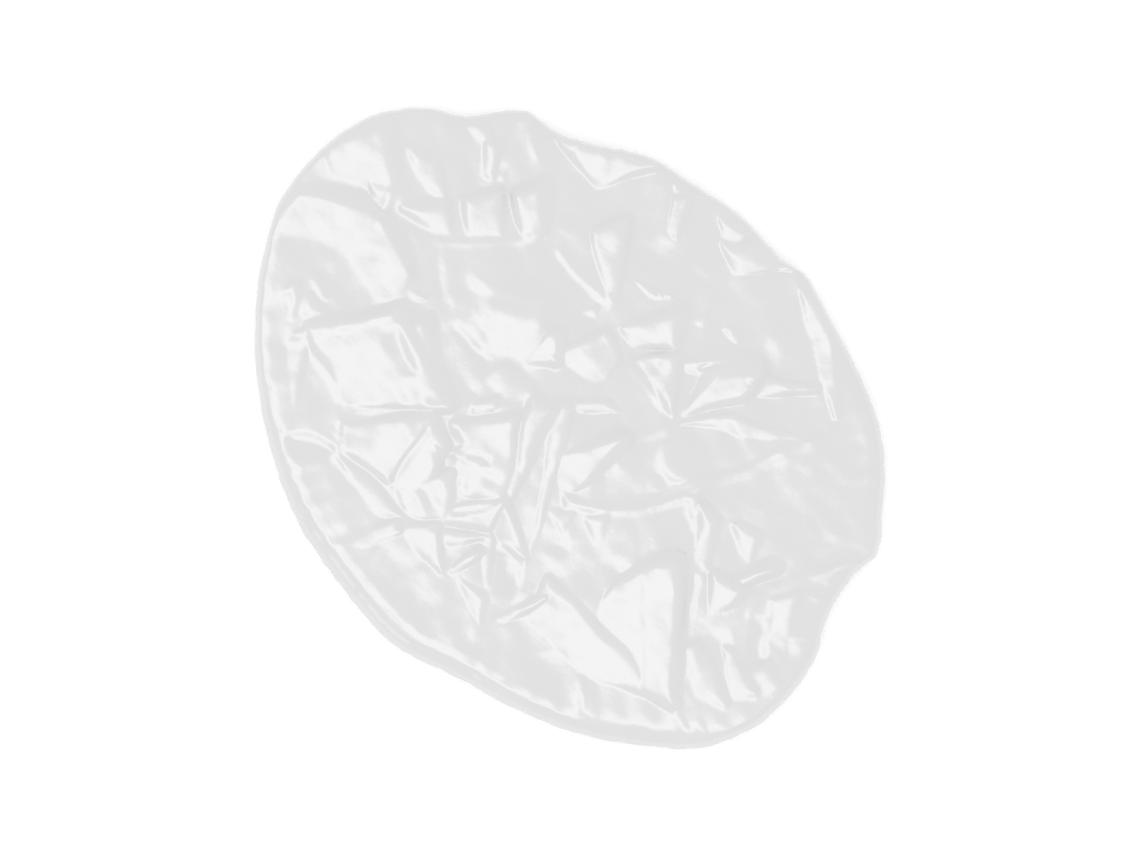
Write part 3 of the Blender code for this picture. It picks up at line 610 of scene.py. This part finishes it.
def rolled_rings(sectors, shoulder_z, inset, cap):
    """The rings of the rim's roll and of the under side, for a face that lies inset inside the cloth's
    outer face. The roll is half an oval: radius = reach - roll + (roll - inset) cos t, z = h + (h - inset)
    sin t, with cos and sin stretched above level so that they are 0 and 1 at t = FIRST_TURN_DEG, where the
    crown ends. The wall's folds take from the radius, more and more downwards, and lift the foot. The
    under side runs in to the mouth and is pleated up and down, more and more towards it."""
    turn_deg = GRID_CORNER_DEG + np.arange(sectors) * 360 / sectors
    rim_x, rim_y, roll, _ = rim_at(turn_deg, cap)
    reach = np.hypot(rim_x, rim_y)
    ray = np.stack([rim_x / reach, rim_y / reach], axis=1)
    cut = np.stack([np.cos(np.radians(turn_deg)), np.sin(np.radians(turn_deg))], axis=1)
    shoulder = reach - roll
    half_height = shoulder_z / 2
    first = math.radians(FIRST_TURN_DEG)
    crease = cap.wall_fold * wall_folds(turn_deg, cap)
    fade_from, fade_to = WALL_FOLD_FADE_DEG
    rings, places = [], []
    for tilt_deg in ROLL_TURN_DEG:
        tilt = math.radians(tilt_deg)
        out, up = math.cos(tilt), math.sin(tilt)
        if tilt > 0:
            out = (out - math.cos(first)) / (1 - math.cos(first))
            up /= math.sin(first)
        deep = crease * smooth((fade_from - tilt_deg) / (fade_from - fade_to))
        radius = shoulder + (roll - inset) * out - deep
        z = half_height + (half_height - inset) * up + FOLD_LIFT * deep * smooth(-tilt_deg / 90)
        rings.append(np.column_stack([ray * radius[:, None], z]))
        arc = math.radians(90 - tilt_deg) * (roll + half_height) / 2
        places.append(cut * (shoulder + arc)[:, None])
    turned = shoulder + math.pi * (roll + half_height) / 2
    mouth = cut * (cap.mouth_edge + SEAT_GAP)
    under = ray * shoulder[:, None]
    pleat = cap.gather * under_pleats(turn_deg, cap)
    run = np.hypot(*(under - mouth).T)
    for step in UNDER_STEPS:
        plan = under * (1 - step) + mouth * step
        lifted = FOLD_LIFT * crease * (1 - smooth(step * LIFT_FADE))
        rings.append(np.column_stack([plan, inset + pleat * smooth(step * GATHER_GROWTH) + lifted]))
        places.append(cut * (turned + run * step)[:, None])
    return rings, places


def stitch(coarse, fine, ratio):
    """Triangles that join a closed row of indices to one with ratio times as many, an odd number: each
    coarse point fans out to the fine ones nearest to it, and one triangle spans each gap."""
    after = np.roll(coarse, -1)
    fine_ring = np.concatenate([fine, fine[:1]])
    first = np.arange(len(coarse)) * ratio
    half = ratio // 2
    triangles = []
    for step in range(ratio):
        owner = coarse if step <= half else after
        triangles.append(np.stack([owner, fine_ring[first + step], fine_ring[first + step + 1]], axis=1))
    triangles.append(np.stack([coarse, fine_ring[first + half + 1], after], axis=1))
    return np.concatenate(triangles)


def cloth_layer(count, inset, cap):
    """One face of the cloth: (points, places on the cut, quads, the row of indices at the mouth). The top's
    grid runs on in the rings of the roll and the under side."""
    top, top_places = crown_top(count, cap)
    row = grid_border(count)
    sectors = len(row)
    rings, ring_places = rolled_rings(sectors, top[row, 2], inset, cap)
    points = np.concatenate([top - (0, 0, inset)] + rings)
    places = np.concatenate([top_places] + ring_places)
    quads = [grid_quads(count)]
    for ring in range(len(rings)):
        next_row = len(top) + ring * sectors + np.arange(sectors)
        quads.append(ring_quads(row, next_row))
        row = next_row
    return points, places, np.concatenate(quads), row


def ruched_ring(cap):
    """The band as a closed tube round the mouth: a flat rounded section, its width and thickness pinched
    by ruches: half size * (1 - depth * ridge), with ridge = 1 - |sin| of an uneven phase round the ring.
    Gives (points, places on the cut, quads)."""
    outer, thick = BAND_BOX[1][0], BAND_BOX[1][2] - BAND_BOX[0][2]
    turn_deg = np.arange(BAND_AROUND) * 360 / BAND_AROUND
    section_deg = np.arange(BAND_SECTION) * 360 / BAND_SECTION
    turn, section = np.meshgrid(np.radians(turn_deg), np.radians(section_deg), indexing="ij")
    phase = np.radians(turn_deg) * RUCHES / 2 + RUCHE_SHIFT * ring_waves(turn_deg, RUCHE_PLACES)
    ridge = (1 - np.abs(np.sin(phase)))[:, None]
    twist = RUCHE_TWIST * np.sin(section + ring_waves(turn_deg, RUCHE_TWISTS)[:, None])
    pinch = 1 - RUCHE_PINCH * np.clip(ridge + twist * ridge, 0, 1) ** RUCHE_SHARPNESS
    across = np.sign(np.cos(section)) * np.abs(np.cos(section)) ** (1 - BAND_SQUARENESS)
    up = np.sign(np.sin(section)) * np.abs(np.sin(section)) ** (1 - BAND_SQUARENESS)
    half_width, half_thick = BAND_WIDTH / 2, thick / 2
    radius = outer - half_width + half_width * across * (1 - RUCHE_NARROWING * (1 - pinch))
    z = half_thick + half_thick * up * pinch
    points = np.stack([radius * np.cos(turn), radius * np.sin(turn), z], axis=-1).reshape(-1, 3)
    places = np.stack([turn * outer, section * thick], axis=-1).reshape(-1, 2)
    index = np.arange(BAND_AROUND * BAND_SECTION).reshape(BAND_AROUND, BAND_SECTION)
    next_turn, next_section = np.roll(index, -1, 0), np.roll(index, -1, 1)
    both = np.roll(next_turn, -1, 1)
    quads = np.stack([index.ravel(), next_turn.ravel(), both.ravel(), next_section.ravel()], axis=1)
    return points, places, quads


def new_mesh(name, points, faces, places=None):
    """A mesh of quads or triangles from arrays, shaded smooth, with the UV map "cut" if places are given."""
    mesh = bpy.data.meshes.new(name)
    corners = np.concatenate([np.asarray(part).ravel() for part in faces])
    sizes = np.concatenate([np.full(len(part), part.shape[1]) for part in faces])
    starts = np.concatenate([[0], np.cumsum(sizes)[:-1]])
    mesh.vertices.add(len(points))
    mesh.vertices.foreach_set("co", np.asarray(points, np.float32).ravel())
    mesh.loops.add(len(corners))
    mesh.loops.foreach_set("vertex_index", corners.astype(np.int32))
    mesh.polygons.add(len(sizes))
    mesh.polygons.foreach_set("loop_start", starts.astype(np.int32))
    mesh.update(calc_edges=True)
    mesh.validate()
    mesh.shade_smooth()
    if places is not None:
        layer = mesh.uv_layers.new(name="cut")
        layer.data.foreach_set("uv", np.asarray(places, np.float32)[corners].ravel())
    return mesh


def add_piece(name, mesh, material):
    """An object of the mesh and its material, at the origin."""
    mesh.materials.append(material)
    piece = bpy.data.objects.new(name, mesh)
    bpy.context.scene.collection.objects.link(piece)
    return piece


class Socket:
    """A shader socket on which +, - and * add Math nodes, from either side."""

    def __init__(self, shader, socket):
        self.shader = shader
        self.socket = socket

    def math(self, operation, other):
        return self.shader.node("ShaderNodeMath", {"operation": operation}, {0: self, 1: other})[0]

    def __add__(self, other):
        return self.math("ADD", other)

    def __sub__(self, other):
        return self.math("SUBTRACT", other)

    def __rsub__(self, other):
        return (self * -1) + other

    def __mul__(self, other):
        return self.math("MULTIPLY", other)

    __radd__ = __add__
    __rmul__ = __mul__


class Shader:
    """A material and the nodes in it."""

    def __init__(self, name, colour):
        self.material = bpy.data.materials.new(name)
        self.material.use_nodes = True
        self.material.diffuse_color = colour
        self.tree = self.material.node_tree
        self.surface = self.tree.nodes["Principled BSDF"]

    def node(self, kind, settings=None, values=None):
        """Adds a node, sets its settings, then its sockets by number or name; gives its outputs."""
        node = self.tree.nodes.new(kind)
        for key, value in (settings or {}).items():
            setattr(node, key, value)
        for key, value in (values or {}).items():
            self.put(node.inputs[key], value)
        return [Socket(self, output) for output in node.outputs]

    def put(self, socket, value):
        if isinstance(value, Socket):
            self.tree.links.new(value.socket, socket)
        else:
            socket.default_value = value

    def finish(self, **values):
        """Sets or links the surface's own sockets, named with _ for a space."""
        for key, value in values.items():
            self.put(self.surface.inputs[key.replace("_", " ")], value)
        return self.material


def tinted(colour, share):
    """The colour times share, opaque, each part 1 at most."""
    return tuple(min(share * part, 1) for part in colour[:3]) + (1.0,)


def satin_cloth(name, colour, roughness, cap):
    """Pale satin: long floats of shiny thread along the cloth's cut, seen as fine streaks in the gloss,
    with a slight crinkle between the folds and the least change of tone."""
    shader = Shader(name, colour)
    place = shader.node("ShaderNodeUVMap", {"uv_map": "cut"})[0]
    turn = (0, 0, math.radians(THREAD_TURN_DEG))
    turned = shader.node("ShaderNodeMapping", {}, {"Vector": place, "Rotation": turn})[0]
    floats = shader.node("ShaderNodeMapping", {}, {"Vector": turned, "Scale": THREAD_SCALE})[0]
    threads = shader.node("ShaderNodeTexNoise", {}, {"Vector": floats, **THREADS})[0]
    crinkle = shader.node("ShaderNodeTexNoise", {}, {"Vector": turned, **CRINKLE})[0]
    cloud = shader.node("ShaderNodeTexNoise", {}, {"Vector": turned, **CLOUDS})[0]
    weave = shader.node("ShaderNodeBump", {}, {"Height": threads, **THREAD_BUMP})[0]
    relief = shader.node("ShaderNodeBump", {}, {"Height": crinkle, "Normal": weave, **CRINKLE_BUMP})[0]
    mask = cloud * (1 - TONE_THREADS) + threads * TONE_THREADS
    tones = {0: mask, 6: tinted(colour, TONE_DARK), 7: tinted(colour, TONE_LIGHT)}
    tone = shader.node("ShaderNodeMix", {"data_type": "RGBA"}, tones)[2]
    streaks = cloud * (1 - GLOSS_THREADS) + threads * GLOSS_THREADS
    gloss = roughness + ROUGHNESS_SPREAD * (2 * streaks - 1)
    return shader.finish(Base_Color=tone, Roughness=gloss, IOR=cap.gloss_index,
                         Specular_IOR_Level=cap.gloss, Normal=relief)


def add_light(name, tilt_deg, width, length, power, stage):
    """A flat soft light turned to the cap, tilt degrees from straight above it."""
    light = bpy.data.lights.new(name, "AREA")
    light.shape = "RECTANGLE"
    light.size, light.size_y = width, length
    light.energy = power
    lamp = bpy.data.objects.new(name, light)
    turn, tilt = math.radians(stage.key_turn_deg), math.radians(tilt_deg)
    place = (math.sin(tilt) * math.cos(turn), math.sin(tilt) * math.sin(turn), math.cos(tilt))
    lamp.location = [stage.key_distance * part for part in place]
    lamp.rotation_euler = (0, tilt, turn)
    bpy.context.scene.collection.objects.link(lamp)


class CapSizes(bpy.types.PropertyGroup):
    """The cap's own sizes and colours."""

    width: bpy.props.FloatProperty(
        name="Width", description="Left to right over the rim", unit="LENGTH",
        default=CROWN_BOX[1][0] - CROWN_BOX[0][0])
    depth: bpy.props.FloatProperty(
        name="Depth", description="Front to back over the rim", unit="LENGTH",
        default=CROWN_BOX[1][1] - CROWN_BOX[0][1])
    height: bpy.props.FloatProperty(
        name="Crown height", description="Floor to the middle of the crown, before its folds",
        unit="LENGTH", default=0.031)
    dome: bpy.props.FloatProperty(
        name="Dome", description="How much of the crown's height over the rim is one smooth dome",
        default=0.42)
    rim_height: bpy.props.FloatProperty(
        name="Rim height", description="Floor to the top of the rolled rim", unit="LENGTH", default=0.0225)
    rim_roll: bpy.props.FloatProperty(
        name="Rim roll", description="Outline to where the rim has turned level", unit="LENGTH",
        default=0.020)
    rim_lip: bpy.props.FloatProperty(
        name="Rim's lip", description="How far the crown rises towards its rim, as a share of the roll",
        default=0.13)
    rim_band: bpy.props.FloatProperty(
        name="Rim's band", description="Width of the band that slopes outside the lip", unit="LENGTH",
        default=0.0046)
    rim_bevel: bpy.props.FloatProperty(
        name="Rim's bevel", description="Slope of the band outside the lip", default=0.125)
    rim_kink: bpy.props.FloatProperty(
        name="Rim kinks", description="Share of the outline by which small kinks move it", default=0.0006)
    pucker: bpy.props.FloatProperty(
        name="Puckers", description="Height of the small puckers along the rim", unit="LENGTH",
        default=0.00007)
    wall: bpy.props.FloatProperty(
        name="Wall", description="Thickness of the cloth", unit="LENGTH", default=0.0013)
    relief: bpy.props.FloatProperty(
        name="Relief", description="Share of the charted folds' height that the crown has", default=0.77)
    crest_round: bpy.props.FloatProperty(
        name="Crest rounding", description="Radius of a sharp fold's crest", unit="LENGTH", default=0.0007)
    foot_round: bpy.props.FloatProperty(
        name="Foot rounding", description="Share of a flank over which its foot is round", default=0.07)
    steepest_fold: bpy.props.FloatProperty(
        name="Steepest fold", description="Rise over run that no flank goes past", default=0.5)
    panel_fall: bpy.props.FloatProperty(
        name="Panel fall", description="Rise over run of the cloth past a panel's edges", default=0.72)
    small_folds: bpy.props.IntProperty(name="Small folds", description="How many short folds", default=130)
    seed: bpy.props.IntProperty(name="Seed", description="Places the short folds", default=11)
    wall_fold: bpy.props.FloatProperty(
        name="Wall folds", description="Depth of the upright folds under the rim", unit="LENGTH",
        default=0.003)
    pleats: bpy.props.IntProperty(name="Pleats", description="Gathers round the mouth", default=72)
    gather: bpy.props.FloatProperty(
        name="Gather height", description="Height of the gathers where they meet the band",
        unit="LENGTH", default=0.0026)
    mouth_edge: bpy.props.FloatProperty(
        name="Band's outer radius", description="Where the gathered cloth meets the band", unit="LENGTH",
        default=BAND_BOX[1][0])
    gloss: bpy.props.FloatProperty(name="Gloss", description="Specular level of the satin", default=0.85)
    gloss_index: bpy.props.FloatProperty(
        name="Gloss index", description="Index of refraction of the satin's sheen", default=2.2)
    roughness: bpy.props.FloatProperty(name="Roughness", description="Roughness of the satin", default=0.205)
    satin: bpy.props.FloatVectorProperty(
        name="Satin", description="Colour of the satin", subtype="COLOR", size=4,
        default=(0.595, 0.595, 0.598, 1.0))


class StageSizes(bpy.types.PropertyGroup):
    """The studio: a pale floor that is faintly lit, two wide soft lights and the camera straight above."""

    floor_width: bpy.props.FloatProperty(
        name="Floor", description="Width of the floor", unit="LENGTH", default=6.0)
    floor_grey: bpy.props.FloatProperty(name="Floor grey", description="Lightness of the floor", default=0.98)
    floor_glow: bpy.props.FloatProperty(
        name="Floor glow", description="Light that the ground gives off, as a lit table does", default=0.1)
    fill: bpy.props.FloatProperty(
        name="Fill", description="Strength of the even light from all round", default=1.065)
    key_power: bpy.props.FloatProperty(
        name="Key", description="Power of the soft light", unit="POWER", default=54.0)
    key_turn_deg: bpy.props.FloatProperty(
        name="Lights' turn", description="Degrees from +X, seen from above", default=225.0)
    key_tilt_deg: bpy.props.FloatProperty(
        name="Key's tilt", description="Degrees from straight above", default=14.0)
    key_distance: bpy.props.FloatProperty(
        name="Lights' distance", description="From the cap", unit="LENGTH", default=10.0)
    key_width: bpy.props.FloatProperty(
        name="Key's width", description="Width of the soft light", unit="LENGTH", default=2.7)
    key_length: bpy.props.FloatProperty(
        name="Key's length", description="Length of the soft light", unit="LENGTH", default=8.8)
    side_power: bpy.props.FloatProperty(
        name="Side", description="Power of the low side light", unit="POWER", default=10.0)
    side_tilt_deg: bpy.props.FloatProperty(
        name="Side's tilt", description="Degrees from straight above", default=62.0)
    side_width: bpy.props.FloatProperty(
        name="Side's width", description="Width and length of the side light", unit="LENGTH", default=3.2)
    camera_height: bpy.props.FloatProperty(
        name="Camera", description="Height above the floor", unit="LENGTH", default=9.0)
    view_height: bpy.props.FloatProperty(
        name="View", description="Front to back of what the camera sees at the crown", unit="LENGTH",
        default=0.49)


class CAP_OT_crown(bpy.types.Operator):
    """Build the crumpled satin crown with its rolled rim and gathered under side"""

    bl_idname = "cap.crown"
    bl_label = "Crown"

    def execute(self, context):
        cap = context.scene.cap_sizes
        outer, outer_places, outer_quads, outer_row = cloth_layer(FINE_GRID, 0.0, cap)
        inner, inner_places, inner_quads, inner_row = cloth_layer(FINE_GRID // INNER_RATIO, cap.wall, cap)
        points = np.concatenate([outer, inner])
        places = np.concatenate([outer_places, inner_places])
        edge = stitch(inner_row + len(outer), outer_row, INNER_RATIO)
        faces = [outer_quads, inner_quads[:, ::-1] + len(outer), edge]
        mesh = new_mesh("satin_crown", points, faces, places)
        material = satin_cloth("crumpled satin", tuple(cap.satin), cap.roughness, cap)
        piece = add_piece("satin_crown", mesh, material)
        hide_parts("crown")
        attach(piece, "root")
        return {"FINISHED"}


class CAP_OT_band(bpy.types.Operator):
    """Build the elastic band in its ruched cover"""

    bl_idname = "cap.band"
    bl_label = "Elastic band"

    def execute(self, context):
        cap = context.scene.cap_sizes
        points, places, quads = ruched_ring(cap)
        mesh = new_mesh("ruched_band", points, [quads], places)
        material = satin_cloth("ruched satin", tinted(cap.satin, BAND_TINT), BAND_ROUGHNESS, cap)
        piece = add_piece("ruched_band", mesh, material)
        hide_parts("elastic_band")
        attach(piece, "root")
        return {"FINISHED"}


class CAP_OT_stage(bpy.types.Operator):
    """Build the pale floor, the two soft lights and the camera straight above"""

    bl_idname = "cap.stage"
    bl_label = "Stage"

    def execute(self, context):
        stage = context.scene.stage_sizes
        half = stage.floor_width / 2
        corners = np.array([(-half, -half, 0), (half, -half, 0), (half, half, 0), (-half, half, 0)])
        grey = (stage.floor_grey,) * 3 + (1.0,)
        shader = Shader("matte floor", grey)
        grain = shader.node("ShaderNodeTexNoise", {}, FLOOR_GRAIN)[0]
        material = shader.finish(
            Base_Color=grey, Roughness=FLOOR_ROUGHNESS + FLOOR_ROUGHNESS_SPREAD * grain,
            Specular_IOR_Level=FLOOR_GLOSS, Emission_Color=WHITE, Emission_Strength=stage.floor_glow)
        floor = add_piece("floor", new_mesh("floor", corners, [np.array([[0, 1, 2, 3]])]), material)
        world = bpy.data.worlds.new("studio")
        context.scene.world = world
        world.use_nodes = True
        background = world.node_tree.nodes["Background"]
        background.inputs["Color"].default_value = WHITE
        background.inputs["Strength"].default_value = stage.fill
        add_light("key", stage.key_tilt_deg, stage.key_width, stage.key_length, stage.key_power, stage)
        add_light("side", stage.side_tilt_deg, stage.side_width, stage.side_width, stage.side_power, stage)
        lens = bpy.data.cameras.new("camera")
        camera = bpy.data.objects.new("camera", lens)
        camera.location = (0, 0, stage.camera_height)
        lens.sensor_fit = "HORIZONTAL"
        view_width = stage.view_height * PHOTO_WIDTH / PHOTO_HEIGHT
        lens.lens = lens.sensor_width * (stage.camera_height - CAD_BOUNDS[1][2]) / view_width
        lens.clip_end = CAMERA_REACH
        context.scene.collection.objects.link(camera)
        context.scene.camera = camera
        context.scene.view_settings.view_transform = "Standard"
        return {"FINISHED"}


class CAP_PT_panel(bpy.types.Panel):
    """The cap's builders, in the 3D view's sidebar"""

    bl_idname = "CAP_PT_panel"
    bl_label = "Satin shower cap"
    bl_space_type = "VIEW_3D"
    bl_region_type = "UI"
    bl_category = "Cap"

    def draw(self, context):
        for operator in (CAP_OT_crown, CAP_OT_band, CAP_OT_stage):
            self.layout.operator(operator.bl_idname)


CLASSES = (CapSizes, StageSizes, CAP_OT_crown, CAP_OT_band, CAP_OT_stage, CAP_PT_panel)


def register():
    for item in CLASSES:
        bpy.utils.register_class(item)
    bpy.types.Scene.cap_sizes = bpy.props.PointerProperty(type=CapSizes)
    bpy.types.Scene.stage_sizes = bpy.props.PointerProperty(type=StageSizes)


def unregister():
    del bpy.types.Scene.stage_sizes
    del bpy.types.Scene.cap_sizes
    for item in reversed(CLASSES):
        bpy.utils.unregister_class(item)


def main():
    register()
    bpy.ops.cap.crown()
    bpy.ops.cap.band()
    bpy.ops.cap.stage()


if __name__ == "__main__":
    main()
